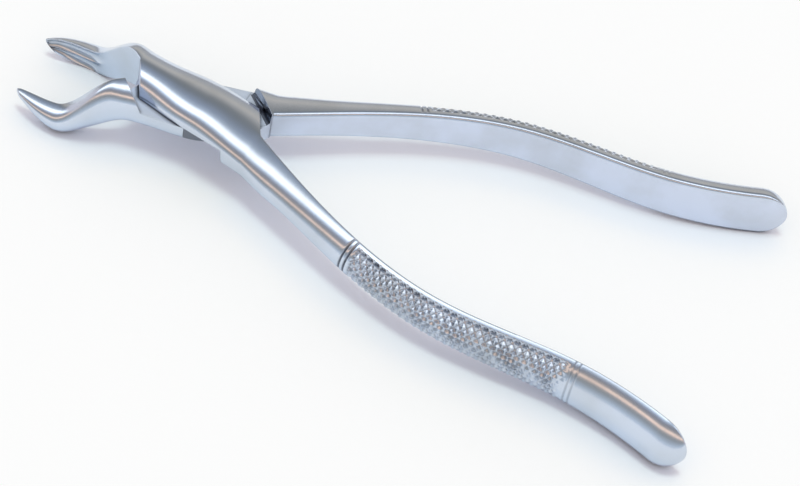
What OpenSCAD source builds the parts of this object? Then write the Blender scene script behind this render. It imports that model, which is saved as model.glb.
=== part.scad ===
// Extraction forceps in polished steel: two forged halves that cross in a lap joint
// and turn on one pivot screw. Millimetres. The origin is the centre of the screw's
// flat face on the underside, +Z runs up the pivot axis, and +X points to the handles.
// Each half is drawn closed, on the centreline, and then swung out to its open place.

/* [Pose] */
// Angle between the halves as they lie open
open_angle = 20; // [4:0.5:30]
// Height of the pivot screw's face above the table
stand_h = 7.1; // [6:0.1:8.5]

/* [Lap joint] */
// Thickness of each cheek on the pivot axis
cheek_t = 4.25; // [3.6:0.05:4.9]
// Height that the crown of a cheek loses under the spot face
spot_sink = 0.3; // [0.2:0.05:0.5]
// Radius on which the beak-side corners of the cheeks turn
beak_corner_r = 12.4; // [11.8:0.1:13]
// Bearing of the beak-side corners from the centreline
beak_corner_deg = 34; // [32:0.5:37]
// Distance by which the top edge of a beak's shoulder leans back from its foot
beak_shoulder_lean = 1.2; // [0:0.1:1.6]
// Distance by which the top edge of a handle's shoulder leans back from its foot
handle_shoulder_lean = 0.5; // [0:0.1:1]
// Radius on which the handle-side corners of the cheeks turn
handle_corner_r = 13.8; // [13.3:0.1:14.8]
// Bearing of the handle-side corners from the centreline
handle_corner_deg = 34; // [32:0.5:37]
// Half width of the joint across the pivot
joint_side = 7.6; // [7.2:0.05:8.2]
// Half width of the joint where the beaks start
beak_root_side = 6.65; // [6.3:0.05:7.2]
// Half width of the joint where the handles start
handle_root_side = 8.15; // [7.6:0.05:8.8]
// Distance by which the middle of the beak roots lies off the pivot, to the fluted beak's
// side; it fades to nothing at the handle roots
joint_shift = 0.65; // [0:0.05:0.9]
// Squareness of the joint's lower edges: 2 is an ellipse, and larger is squarer
under_n = 5; // [2.6:0.2:7]
// Length of the relief cut from the under cheek's free corner, along its side
relief_l = 12.5; // [9:0.5:14]
// Depth of that relief at the corner
relief_d = 3.2; // [1:0.1:3.6]
// Gap between the two cheeks on the lap plane
lap_gap = 0.06; // [0.04:0.02:0.14]
// Gap between a cheek's end edge and the shoulder that it closes on
shoulder_gap = 0.15; // [0.1:0.05:0.3]
// Distance of each inner face from the centreline where it leaves the joint
root_gap = 0.35; // [0.2:0.05:0.6]

/* [Pivot screw] */
// Diameter of the head
head_d = 7; // [6.2:0.1:7.6]
// Thickness of the head
head_t = 1.5; // [1.2:0.1:1.9]
// Diameter of the shank that the under half turns on
shank_d = 5; // [4.4:0.1:5.6]
// Outer diameter of the threaded end
thread_d = 4; // [3.2:0.1:4.2]
// Length of the threaded end
thread_l = 2.8; // [2.2:0.1:3]
// Radial clearance of the shank in its bore
shank_play = 0.05; // [0.02:0.01:0.08]
// Radial clearance of the threaded end
thread_play = 0.02; // [0.02:0.01:0.04]
// Radial and end clearance of the head in its seat
head_play = 0.08; // [0.05:0.01:0.1]
// Diameter of the flat spot face round the head
spot_d = 8.4; // [8:0.1:9]

/* [Beaks] */
// Reach of the beak tips from the pivot
beak_reach = 39.7; // [37:0.1:42]
// Distance from the pivot to the widest place between the beaks
beak_belly_x = 28.5; // [26:0.5:31]
// Distance of the inner face from the centreline at its widest
beak_belly_in = 3.9; // [3:0.1:5]
// Distance from the pivot to where the outer side is widest
beak_out_x = 27.5; // [25:0.5:29]
// Distance of the outer side from the centreline at its widest
beak_belly_out = 8.4; // [7.8:0.1:9.2]
// Distance of the inner face from the centreline at the tip
beak_tip_in = 1.5; // [0.8:0.1:2.5]
// Thickness of the tip, inner face to outer side
beak_tip_w = 1.1; // [0.8:0.1:2]
// Distance from the pivot to where the beaks begin to bend down
bend_start_x = 17.5; // [16.5:0.5:19]
// Distance from the pivot to where the beaks are level again
bend_end_x = 30; // [28.5:0.5:31.5]
// Height of the beaks' top edge above the table past the bend
beak_top_h = 6; // [5:0.1:7]
// Height of the pointed tip's top edge above the table
point_top_h = 5.5; // [5:0.1:6]
// Height of the fluted tip's top edge above the table
fluted_top_h = 4.3; // [3.8:0.1:5.4]
// Height of the underside above the table at the pointed tip
point_bottom_h = 4.2; // [3.2:0.1:4.6]
// Height of the underside above the table at the fluted tip
fluted_bottom_h = 2; // [1.4:0.1:2.6]
// Depth of the two flutes in the fluted beak
flute_d = 0.7; // [0.4:0.05:0.9]
// Distance from the pivot to where the flutes start
flute_start_x = 25; // [23:0.5:27]
// Length by which the fluted tip leans forward over its height
tip_lean = 3; // [1:0.2:4]

/* [Handles] */
// Reach of the handles from the pivot
handle_reach = 132.6; // [124:0.2:140]
// Distance from the pivot to the widest place between the handles
handle_belly_x = 70.5; // [66:0.5:76]
// Distance of the inner face from the centreline at its widest
handle_belly_in = 14.9; // [12:0.1:18]
// Distance from the pivot to the waist behind the grip
handle_waist_x = 108; // [102:1:112]
// Distance of the inner face from the centreline at the waist
handle_waist_in = 11; // [9:0.1:13]
// Distance of the inner face from the centreline at the handle's end
handle_end_in = 14.3; // [12:0.1:17]
// Slope angle at which the handles leave the joint
handle_root_deg = 22; // [18:0.5:25]
// Slope angle of the flared handle end
handle_end_deg = 14.5; // [8:0.5:20]
// Thickness of the grip, inner face to outer side
grip_w = 4.5; // [3.8:0.1:5.2]
// Thickness of the handle's end
end_w = 4.6; // [4:0.1:5.4]
// Height of the handle's top edge above the table at the joint
root_top_h = 13.7; // [13:0.1:14.4]
// Height of the handle's underside above the table at the joint
root_bottom_h = 6.4; // [6:0.1:7.2]
// Height of the handle's top edge above the table in the front of the grip
grip_top_h = 12.7; // [12:0.1:13.4]
// Height of the handle's underside above the table in the front of the grip
grip_bottom_h = 3.3; // [2.6:0.1:4]
// Height of the handle's top edge above the table at its end
end_top_h = 12; // [11:0.1:13]
// Length of the flat land that each handle's end rests on
land_l = 6; // [3:0.5:9]
// Depth of the flat land that each handle's end rests on
land_d = 0.3; // [0.2:0.05:0.5]
// Depth of the land that each beak rests on
beak_land_d = 0.12; // [0.08:0.02:0.2]

/* [Grips] */
// Distance from the pivot to the first ring groove
grip_start_x = 48.8; // [45:0.1:54]
// Distance from the pivot to the last ring groove
grip_end_x = 104.5; // [98:0.5:110]
// Spacing of the two grooves of a pair
ring_step = 1.2; // [1:0.1:1.8]
// Width of a ring groove
ring_w = 0.7; // [0.5:0.05:0.9]
// Depth of a ring groove
ring_d = 0.35; // [0.2:0.05:0.5]
// Pitch of the knurling's diamonds along the grip
knurl_pitch = 1.8; // [1.6:0.1:2.6]
// Depth of the knurling
knurl_d = 0.25; // [0.1:0.05:0.35]

/* [Hidden] */
$fn = 64;

// Roundness of the sections: 2 is an ellipse, and larger is squarer
round_n = 2.6;
// Number of steps round one side of a section, and of those in the border of the knurling
side_steps = 12;
border = 2;
// Step between sections along the beaks, the joint and the handles
beak_step = 1.5;
joint_step = 4;
handle_step = 4.5;
// Length from the joint over which the sections swing round until they are square to
// the curve of the handle
turn_l = 14;
// Distances from the pivot to where the crown ends on the handle side, to where the
// root heights hold and to where the grip heights hold
crown_end_x = 2;
root_h_x = 19.5;
grip_h_x = 63.5;
// Distance from the pivot to where the underside of the beaks begins to bend down
under_bend_x = 13.5;
// Length in which the flutes reach their full depth
flute_run = 5;
// Lengths over which the joint's shape fades into the beaks and the handles
beak_fade_l = 9;
handle_fade_l = 18;
// Length in which a side changes from the full joint to a flat inner face
switch_l = 0.2;
// Size larger than anything that is cut, and sideways distance that clears the joint
far = 300;
side_far = 24;

// Heights in this frame
table_z = -stand_h;
lap_z = cheek_t;
joint_top_h = stand_h + 2 * cheek_t + spot_sink;
joint_bottom_h = stand_h - spot_sink;

// The end edge of a cheek is tangent to the circle that its free corner turns on
function edge_x(r, deg, y) = (r - y * sin(deg)) / cos(deg);
beak_root_x = edge_x(beak_corner_r, beak_corner_deg, -root_gap);
handle_root_x = edge_x(handle_corner_r, handle_corner_deg, -root_gap);

// Smooth curve through keys [x, value, slope]
function span(keys, x, i = 0) =
    (i >= len(keys) - 2 || x < keys[i + 1][0]) ? i : span(keys, x, i + 1);
function curve(keys, x) =
    let (
        i = span(keys, x),
        a = keys[i],
        b = keys[i + 1],
        d = b[0] - a[0],
        u = (x - a[0]) / d
    )
    a[1] * (1 + 2 * u) * pow(1 - u, 2) + a[2] * d * u * pow(1 - u, 2)
    + b[1] * u * u * (3 - 2 * u) + b[2] * d * u * u * (u - 1);
function slope(keys, x) = (curve(keys, x + 0.01) - curve(keys, x - 0.01)) / 0.02;
function ramp(x, from, to) =
    let (u = max(0, min(1, (x - from) / (to - from)))) u * u * (3 - 2 * u);

// Shapes of the two tips: [underside height, top edge height, slope of the top edge at the
// tip, length of the rounding at the tip, 1 with flutes or 0 without]
point_tip = [point_bottom_h, point_top_h, 0.12, 1.2, 0];
fluted_tip = [fluted_bottom_h, fluted_top_h, 0.8, 0.4, 1];

// Keys of the curves, with x negative on the beaks and positive on the handles
beak_in_keys = [
    [-beak_reach, beak_tip_in, 0.2],
    [-beak_belly_x, beak_belly_in, 0],
    [-beak_root_x, root_gap, -0.6]
];
beak_out_keys = [
    [-beak_reach, beak_tip_in + beak_tip_w, 0.8],
    [-beak_out_x, beak_belly_out, 0],
    [-beak_root_x, beak_root_side, -0.08]
];
joint_side_keys = [
    [-beak_root_x, beak_root_side, -0.08],
    [0, joint_side, 0],
    [handle_root_x, handle_root_side, 0.02]
];
handle_in_keys = [
    [handle_root_x, root_gap, tan(handle_root_deg)],
    [handle_belly_x, handle_belly_in, 0],
    [handle_waist_x, handle_waist_in, 0],
    [handle_reach, handle_end_in, tan(handle_end_deg)]
];
handle_w_keys = [
    [handle_root_x, handle_root_side - root_gap, -0.2],
    [grip_start_x, grip_w, -0.02],
    [grip_end_x, grip_w, 0],
    [handle_reach, end_w, 0]
];
function top_keys(tip) = [
    [-beak_reach, tip[1], tip[2]],
    [-bend_end_x, beak_top_h, 0.08],
    [-bend_start_x, joint_top_h, 0],
    [crown_end_x, joint_top_h, 0],
    [root_h_x, root_top_h, -0.05],
    [grip_h_x, grip_top_h, -0.015],
    [handle_reach, end_top_h, -0.01]
];
bottom_land_keys = [
    [crown_end_x, joint_bottom_h, 0],
    [root_h_x, root_bottom_h, -0.05],
    [grip_h_x, grip_bottom_h, -0.06],
    [handle_reach - land_l, -land_d, -0.035],
    [handle_reach, -land_d, 0]
];
function bottom_keys(tip) = concat([
    [-beak_reach, tip[0], -0.35],
    [-beak_belly_x, -beak_land_d, 0],
    [-under_bend_x, joint_bottom_h, 0.02]
], bottom_land_keys);

// How far the joint's shape holds at x: 1 between the roots, fading to 0 beyond them
function joint_part(x) =
    ramp(x, -beak_root_x - beak_fade_l, -beak_root_x)
    * (1 - ramp(x, handle_root_x, handle_root_x + handle_fade_l));

// A station is [x, centreline y, turn, half width to -Y, half width to +Y, top, bottom,
// shape of the -Y side, shape of the +Y side, lean, depth of the flutes, depth of a ring or
// of the knurling, phase of the knurling]. A side has shape 1 where it is round and 0 where
// it is a flat inner face. The phase is 0 without knurling, and 1 and 2 take turns in it.
function beak_station(x, tip, shift) =
    let (yi = curve(beak_in_keys, x))
    [x, yi, 0, 0, curve(beak_out_keys, x) - yi + shift * joint_part(x), curve(top_keys(tip), x),
        curve(bottom_keys(tip), x), 0, 1,
        tip[4] * tip_lean * ramp(-x, beak_belly_x, beak_reach),
        tip[4] * flute_d * ramp(-x, flute_start_x, flute_start_x + flute_run), 0, 0];
function joint_station(x, tip, shift) =
    let (
        u = (x + beak_root_x) / (beak_root_x + handle_root_x),
        yc = root_gap * (1 - 2 * u),
        side = curve(joint_side_keys, x),
        off = shift * (1 - u)
    )
    [x, yc, 0, side + yc - off, side - yc + off, curve(top_keys(tip), x),
        curve(bottom_keys(tip), x), 1, 1, 0, 0, 0, 0];
function handle_station(x, depth, phase, tip) =
    [x, -curve(handle_in_keys, x),
        -atan(slope(handle_in_keys, x)) * ramp(x, handle_root_x, handle_root_x + turn_l),
        curve(handle_w_keys, x), 0, curve(top_keys(tip), x),
        curve(bottom_keys(tip), x), 1, 0, 0, 0, depth, phase];

// Point of a section. Steps 0 to side_steps run up the -Y side and the rest down the +Y side.
// A row of the knurling is lowered at every other point, and the two points next to an
// edge of the inner face stay as they are, as a plain border.
function signed_power(c, n) = sign(c) * pow(abs(c), 2 / n);
function lowered(s, k) =
    s[12] == 0 || (k >= border && k <= side_steps - border && (k + s[12]) % 2 == 0);
function section_point(s, k, shrink) =
    let (
        minus = k <= side_steps,
        i = minus ? k : 2 * side_steps - k,
        a = -90 + 180 * i / side_steps,
        mid = (s[5] + s[6]) / 2,
        full = (s[5] - s[6]) / 2,
        half = shrink * full,
        is_round = (minus ? s[7] : s[8]) == 1,
        n = a < 0 ? round_n + (under_n - round_n) * joint_part(s[0]) : round_n,
        inset = is_round && lowered(s, k) ? s[11] * cos(a) : 0,
        w = (minus ? s[3] : s[4]) - inset,
        v = is_round ? signed_power(sin(a), n) * (half - inset * cos(a))
            : half * (2 * i / side_steps - 1),
        hollow = shrink * s[10] * abs(sin(360 * i / side_steps)),
        out = is_round ? shrink * w * signed_power(cos(a), n) : (minus ? -hollow : 0),
        u = minus ? -out : out
    )
    [
        s[0] - s[9] / 2 * v / full - u * sin(s[2]),
        s[1] + u * cos(s[2]),
        mid + v - stand_h
    ];
function section(s, shrink) =
    [for (k = [0:2 * side_steps - 1]) section_point(s, k, shrink)];

// Body that joins sections [station, shrink] in order and closes at both ends round their
// middles. Where two sections are knurled, the walls fold along the lowered points.
function mean(values) = values * [for (v = values) 1 / len(values)];
function middle(points) = [for (i = [0:2]) mean([for (p = points) p[i]])];
module loft(stations) {
    n = 2 * side_steps;
    m = len(stations);
    sections = [for (e = stations) section(e[0], e[1])];
    points = concat([for (s = sections) each s], [middle(sections[0]), middle(sections[m - 1])]);
    walls = [
        for (j = [0:m - 2], k = [0:n - 1])
            let (a = j * n + k, b = j * n + (k + 1) % n, from_raised = (k + stations[j][0][12]) % 2)
            each from_raised == 1 ? [[a, b, a + n], [b, b + n, a + n]] : [[a, b, b + n], [a, b + n, a + n]]
    ];
    ends = [
        for (k = [0:n - 1])
            let (next = (k + 1) % n, last = (m - 1) * n)
            each [[m * n, next, k], [m * n + 1, last + k, last + next]]
    ];
    polyhedron(points = points, faces = concat(walls, ends), convexity = 8);
}

// Places along a round nose: 0 at its start and 1 at its very end
nose_steps = [0.35, 0.65, 0.85, 0.97];
function nose_shrink(u) = sqrt(1 - u * u);

// Depth of the ring grooves at a distance along the handle
ring_x = [grip_start_x, grip_start_x + ring_step, grip_end_x - ring_step, grip_end_x];
ring_places = [
    for (x = ring_x)
        each [[x - ring_w / 2, 0, 0], [x, ring_d, 0], [x + ring_w / 2, 0, 0]]
];

// Knurling between the two pairs of rings, with a section at every half pitch. It comes in
// over one pitch and fades out over two.
knurl_from = grip_start_x + ring_step + ring_w;
knurl_to = grip_end_x - ring_step - ring_w;
knurl_n = floor(2 * (knurl_to - knurl_from) / knurl_pitch);
function knurl_depth(x) =
    knurl_d * ramp(x, knurl_from - knurl_pitch, knurl_from + knurl_pitch)
    * (1 - ramp(x, knurl_to - 2 * knurl_pitch, knurl_to + knurl_pitch));
knurl_places = [
    for (i = [0:knurl_n])
        let (x = knurl_from + (knurl_to - knurl_from) * i / knurl_n)
        [x, knurl_depth(x), 1 + i % 2]
];

// Plain places along the handle keep clear of the ring grooves and the knurling
function is_plain(x) =
    min([for (r = ring_x) abs(x - r)]) > ring_w && (x < knurl_from || x > knurl_to);
function by_x(list) = len(list) < 2 ? list :
    let (
        p = list[floor(len(list) / 2)][0],
        low = [for (e = list) if (e[0] < p) e],
        same = [for (e = list) if (e[0] == p) e],
        high = [for (e = list) if (e[0] > p) e]
    )
    concat(by_x(low), same, by_x(high));

module half_blank(tip, shift) {
    tip_nose = tip[3];
    end_nose = (end_top_h + land_d) / 2;
    beak_n = ceil((beak_reach - tip_nose - beak_root_x - switch_l) / beak_step);
    joint_n = ceil((beak_root_x + handle_root_x) / joint_step);
    handle_from = handle_root_x + switch_l;
    handle_to = handle_reach - end_nose;
    handle_n = ceil((handle_to - handle_from) / handle_step);
    beak_from = -beak_root_x - switch_l;
    beak_to = -beak_reach + tip_nose;
    plain_places = [
        for (i = [0:handle_n])
            let (x = handle_from + (handle_to - handle_from) * i / handle_n)
            if (is_plain(x)) [x, 0, 0]
    ];
    tip_sections = [
        for (i = [len(nose_steps) - 1:-1:0])
            let (u = nose_steps[i])
            [beak_station(beak_to - tip_nose * u, tip, shift), nose_shrink(u)]
    ];
    beak_sections = [
        for (i = [0:beak_n])
            let (x = beak_to + (beak_from - beak_to) * i / beak_n)
            [beak_station(x, tip, shift), 1]
    ];
    joint_sections = [
        for (i = [0:joint_n])
            let (x = -beak_root_x + (beak_root_x + handle_root_x) * i / joint_n)
            [joint_station(x, tip, shift), 1]
    ];
    handle_sections = [
        for (p = by_x(concat(plain_places, ring_places, knurl_places)))
            [handle_station(p[0], p[1], p[2], tip), 1]
    ];
    end_sections = [
        for (u = nose_steps)
            [handle_station(handle_to + end_nose * u, 0, 0, tip), nose_shrink(u)]
    ];
    loft(concat(tip_sections, beak_sections, joint_sections, handle_sections, end_sections));
}

// Everything past the end edge of a cheek, on the side where the other half's arm lies.
// The edge is moved out by gap from the circle of its free corner.
module past_edge(r, deg, to_x, gap) {
    polygon([
        [edge_x(r + gap, deg, -root_gap), -root_gap],
        [edge_x(r + gap, deg, side_far), side_far],
        [to_x, side_far],
        [to_x, -root_gap]
    ]);
}

// Region between the two shoulders, where the other half's cheek lies
module lap_region() {
    r_b = beak_corner_r + shoulder_gap;
    r_h = handle_corner_r + shoulder_gap;
    polygon([
        [-edge_x(r_b, beak_corner_deg, side_far), side_far],
        [-edge_x(r_b, beak_corner_deg, -side_far), -side_far],
        [edge_x(r_h, handle_corner_deg, side_far), -side_far],
        [edge_x(r_h, handle_corner_deg, -side_far), side_far]
    ]);
}

// Cut that leans a shoulder back from its foot, for a foot at distance r from the pivot
module lean_cut(deg, r, lean) {
    rotate([0, 0, -deg]) translate([r, 0, 0]) rotate([90, 0, 0])
        translate([0, 0, -side_far]) linear_extrude(2 * side_far)
            polygon([[0, 0], [2 * lean, 2 * cheek_t], [-2 * lean, 2 * cheek_t], [-2 * lean, 0]]);
}

// A half as it comes from the forge and the grinder, closed, with its beak at +Y.
// side is 1 where the other half's cheek lies above the lap plane and -1 where it lies below.
module closed_half(tip, shift, side) {
    difference() {
        half_blank(tip, shift);
        translate([0, 0, -far / 2]) linear_extrude(far)
            past_edge(handle_corner_r, handle_corner_deg, far, 0);
        translate([0, 0, -far / 2]) linear_extrude(far) mirror([1, 0]) mirror([0, 1])
            past_edge(beak_corner_r, beak_corner_deg, far, 0);
        translate([0, 0, lap_z - side * lap_gap / 2]) mirror([0, 0, side < 0 ? 1 : 0]) {
            linear_extrude(far) lap_region();
            lean_cut(beak_corner_deg, -beak_corner_r - shoulder_gap, -beak_shoulder_lean);
            lean_cut(handle_corner_deg, handle_corner_r + shoulder_gap, handle_shoulder_lean);
        }
        translate([-far / 2, -far / 2, table_z - far]) cube([far, far, far]);
    }
}

module top_half() {
    lap_bottom = lap_z + lap_gap / 2;
    color([0.76, 0.78, 0.8])
    difference() {
        rotate([0, 0, -open_angle / 2])
            closed_half(fluted_tip, joint_shift, -1);
        cylinder(h = lap_bottom + thread_l + thread_play, d = thread_d + 2 * thread_play);
    }
}

module under_half() {
    corner_x = edge_x(handle_corner_r, handle_corner_deg, joint_side);
    color([0.72, 0.74, 0.78])
    difference() {
        rotate([0, 0, open_angle / 2]) mirror([0, 1, 0])
            closed_half(point_tip, -joint_shift, 1);
        rotate([0, 0, open_angle / 2]) translate([0, 0, -far / 2]) linear_extrude(far)
            polygon([
                [corner_x - relief_l, joint_shift - joint_side],
                [corner_x, joint_shift - joint_side + relief_d],
                [corner_x + relief_d, -joint_side],
                [corner_x, -side_far],
                [corner_x - relief_l, -side_far]
            ]);
        translate([0, 0, -stand_h]) cylinder(h = stand_h, d = spot_d);
        translate([0, 0, -stand_h])
            cylinder(h = stand_h + head_t + head_play, d = head_d + 2 * head_play);
        cylinder(h = 2 * cheek_t, d = shank_d + 2 * shank_play);
    }
}

module pivot_screw() {
    shank_top = lap_z + lap_gap / 2;
    color([0.66, 0.68, 0.72]) {
        cylinder(h = head_t, d = head_d);
        cylinder(h = shank_top, d = shank_d);
        cylinder(h = shank_top + thread_l, d = thread_d);
    }
}

top_half();
under_half();
pivot_screw();
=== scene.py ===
import math

import bmesh
import bpy
import numpy as np
from bpy.props import FloatProperty, FloatVectorProperty, IntProperty, PointerProperty
from mathutils import Euler, Matrix, Vector


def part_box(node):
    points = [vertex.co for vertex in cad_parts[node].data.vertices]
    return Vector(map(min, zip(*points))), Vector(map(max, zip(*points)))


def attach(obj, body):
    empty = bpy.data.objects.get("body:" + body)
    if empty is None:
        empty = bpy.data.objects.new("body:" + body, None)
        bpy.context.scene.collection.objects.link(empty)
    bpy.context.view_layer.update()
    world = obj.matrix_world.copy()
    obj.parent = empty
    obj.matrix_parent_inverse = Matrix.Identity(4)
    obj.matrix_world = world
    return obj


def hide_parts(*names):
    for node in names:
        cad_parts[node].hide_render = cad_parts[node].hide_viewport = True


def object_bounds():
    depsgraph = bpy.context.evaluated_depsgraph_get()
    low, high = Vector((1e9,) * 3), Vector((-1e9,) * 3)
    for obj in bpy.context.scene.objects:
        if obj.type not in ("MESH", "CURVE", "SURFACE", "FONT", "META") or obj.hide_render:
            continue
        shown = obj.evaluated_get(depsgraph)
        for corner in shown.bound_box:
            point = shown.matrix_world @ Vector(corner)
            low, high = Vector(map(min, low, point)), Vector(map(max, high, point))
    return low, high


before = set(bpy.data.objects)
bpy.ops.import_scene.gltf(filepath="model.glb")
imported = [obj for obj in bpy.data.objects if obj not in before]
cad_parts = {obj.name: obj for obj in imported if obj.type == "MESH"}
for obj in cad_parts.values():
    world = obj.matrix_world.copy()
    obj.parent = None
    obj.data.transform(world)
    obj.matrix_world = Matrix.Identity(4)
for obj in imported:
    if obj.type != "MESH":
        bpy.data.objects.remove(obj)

bl_info = {
    "name": "Extraction Forceps",
    "version": (1, 0, 0),
    "blender": (4, 5, 0),
    "location": "View3D > Sidebar > Forceps",
    "description": "Steel extraction forceps: two forged halves in a lap joint, knurled grips",
    "category": "Add Mesh",
}

# The frame, in metres: +Z up the pivot's axis from the screw's face, +X from the beaks to the
# handles, +Y to the side of the fluted beak. Each half is drawn closed with its beak at +Y,
# cut, and then swung to its open place. The under half is mirrored on the way.
CAD_BOX = [list(corner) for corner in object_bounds()]
FAR = 0.3               # further out than any part of the forceps
SHARP_DEG = 32          # edges sharper than this are shaded as edges


def length(name, description, default):
    """A size in metres that the sidebar shows as a length."""
    return FloatProperty(name=name, description=description, default=default,
                         subtype="DISTANCE", unit="LENGTH", precision=5)


def angle(name, description, degrees):
    """An angle, written here in degrees."""
    return FloatProperty(name=name, description=description, default=math.radians(degrees),
                         subtype="ANGLE", unit="ROTATION")


def amount(name, description, default):
    """A plain number from 0 up."""
    return FloatProperty(name=name, description=description, default=default, min=0.0)


def colour(name, description, default):
    """A colour in linear light."""
    return FloatVectorProperty(name=name, description=description, default=default,
                               subtype="COLOR", size=3, min=0.0, max=1.0)


class ForcepsJoint(bpy.types.PropertyGroup):
    """Sizes of the lap joint and of how the halves lie."""
    open_angle: angle("Opening", "Angle between the halves as they lie open", 20)
    stand_h: length("Stand height", "Height of the screw's face above the table", 0.0071)
    cheek_t: length("Cheek", "Thickness of each cheek on the pivot axis", 0.00425)
    spot_sink: length("Crown", "Height that a crown loses under the spot face", 0.0003)
    beak_r: length("Beak corner", "Radius on which the beak-side corners turn", 0.0124)
    beak_deg: angle("Beak edge", "Bearing of the beak-side corners", 34)
    beak_lean: length("Beak shoulder lean", "Lean of a beak's shoulder", 0.0012)
    handle_r: length("Handle corner", "Radius on which the handle-side corners turn", 0.0138)
    handle_deg: angle("Handle edge", "Bearing of the handle-side corners", 34)
    handle_lean: length("Handle shoulder lean", "Lean of a handle's shoulder", 0.0005)
    side: length("Half width", "Half width of the joint across the pivot", 0.0076)
    beak_side: length("Beak half width", "Half width where the beaks start", 0.00665)
    handle_side: length("Handle half width", "Half width where the handles start", 0.00815)
    shift: length("Shift", "Sideways shift of the beak roots", 0.00065)
    under_n: amount("Lower squareness", "Squareness of the joint's lower edges", 5.0)
    relief_l: length("Relief length", "Length of the relief on the under cheek", 0.0125)
    relief_d: length("Relief depth", "Depth of the relief at the free corner", 0.0032)
    lap_gap: length("Lap gap", "Gap between the cheeks", 0.00006)
    shoulder_gap: length("Shoulder gap", "Gap between a cheek's edge and its shoulder", 0.00015)
    root_gap: length("Root gap", "Distance of the inner faces from the centreline", 0.00035)


class ForcepsBeaks(bpy.types.PropertyGroup):
    """Sizes of the two bent beaks."""
    reach: length("Reach", "Reach of the tips from the pivot", 0.0397)
    belly_x: length("Belly place", "Distance to the widest place between the beaks", 0.0285)
    belly_in: length("Belly", "Inner face from the centreline at its widest", 0.0039)
    out_x: length("Outer place", "Distance to where the outer side is widest", 0.0275)
    belly_out: length("Outer belly", "Outer side from the centreline at its widest", 0.0084)
    tip_in: length("Tip", "Inner face from the centreline at the tip", 0.0015)
    tip_w: length("Tip thickness", "Thickness of the tip", 0.0011)
    bend_start: length("Bend start", "Distance to where the beaks bend down", 0.0175)
    bend_end: length("Bend end", "Distance to where the beaks are level again", 0.030)
    top_h: length("Top height", "Height of the top edge past the bend", 0.006)
    point_top: length("Point top", "Height of the pointed tip's top", 0.0055)
    fluted_top: length("Fluted top", "Height of the fluted tip's top", 0.0043)
    point_bottom: length("Point underside", "Underside height at the pointed tip", 0.0042)
    fluted_bottom: length("Fluted underside", "Underside height at the fluted tip", 0.002)
    land_d: length("Beak land", "Depth of the land that a beak rests on", 0.00012)
    flute_d: length("Flute depth", "Depth of the two flutes", 0.0007)
    flute_start: length("Flute start", "Distance to where the flutes start", 0.025)
    tip_lean: length("Tip lean", "Forward lean of the fluted tip", 0.003)
    edge_r: length("Edge radius", "Rounding of the inner face's edges", 0.00022)


class ForcepsHandles(bpy.types.PropertyGroup):
    """Sizes of the two curved handles."""
    reach: length("Reach", "Reach of the handles from the pivot", 0.1326)
    belly_x: length("Belly place", "Distance to the widest place between the handles", 0.0705)
    belly_in: length("Belly", "Inner face from the centreline at its widest", 0.0149)
    waist_x: length("Waist place", "Distance to the waist behind the grip", 0.108)
    waist_in: length("Waist", "Inner face from the centreline at the waist", 0.011)
    end_in: length("End", "Inner face from the centreline at the end", 0.0143)
    root_deg: angle("Root slope", "Slope at which the handles leave the joint", 22)
    end_deg: angle("End slope", "Slope of the flared end", 14.5)
    grip_w: length("Grip thickness", "Thickness of the grip", 0.0045)
    end_w: length("End thickness", "Thickness of the handle's end", 0.0046)
    root_top: length("Root top", "Height of the top edge at the joint", 0.0137)
    root_bottom: length("Root underside", "Height of the underside at the joint", 0.0064)
    grip_top: length("Grip top", "Height of the top edge in the grip", 0.0127)
    grip_bottom: length("Grip underside", "Height of the underside in the grip", 0.0033)
    end_top: length("End top", "Height of the top edge at the end", 0.012)
    land_l: length("Land length", "Length of the land at the end", 0.006)
    land_d: length("Land depth", "Depth of the land at the end", 0.0003)
    edge_r: length("Edge radius", "Rounding of the inner face's edges", 0.00050)


class ForcepsGrips(bpy.types.PropertyGroup):
    """The knurling and the ring grooves at its two ends."""
    start: length("Start", "Distance from the pivot to the first ring groove", 0.0488)
    end: length("End", "Distance from the pivot to the last ring groove", 0.1045)
    ring_step: length("Ring spacing", "Spacing of the two grooves of a pair", 0.0012)
    ring_w: length("Ring width", "Width of a ring groove", 0.0007)
    ring_d: length("Ring depth", "Depth of a ring groove", 0.00035)
    pitch: length("Pitch", "Pitch of the diamonds along the grip", 0.0018)
    rows: IntProperty(name="Rows", description="Rows of diamonds round the grip", default=12)
    border: length("Border", "Plain border beside the inner face", 0.001)
    depth: length("Depth", "Depth of the knurling", 0.00048)


class ForcepsScrew(bpy.types.PropertyGroup):
    """Sizes of the pivot screw and of its holes in the halves."""
    head_r: length("Head", "Radius of the head", 0.0035)
    head_h: length("Head height", "Height of the head", 0.0015)
    shank_r: length("Shank", "Radius of the shank in the under half", 0.0025)
    shank_end: length("Shank end", "Height of the shank's shoulder above the face", 0.0042)
    thread_r: length("Thread", "Radius of the threaded end in the top half", 0.002)
    bevel: length("Bevel", "Bevel of the head and of the shank's shoulder", 0.0001)
    spot_r: length("Spot face", "Radius of the spot face round the head", 0.0042)
    head_hole_r: length("Head hole", "Radius of the hole for the head", 0.00358)
    head_hole_h: length("Head hole depth", "Depth of the hole for the head", 0.00158)
    shank_hole_r: length("Shank hole", "Radius of the hole for the shank", 0.00255)
    thread_hole_r: length("Thread hole", "Radius of the hole for the threaded end", 0.00202)
    thread_hole_h: length("Thread hole depth", "Depth of that hole in the top cheek", 0.00282)


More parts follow.
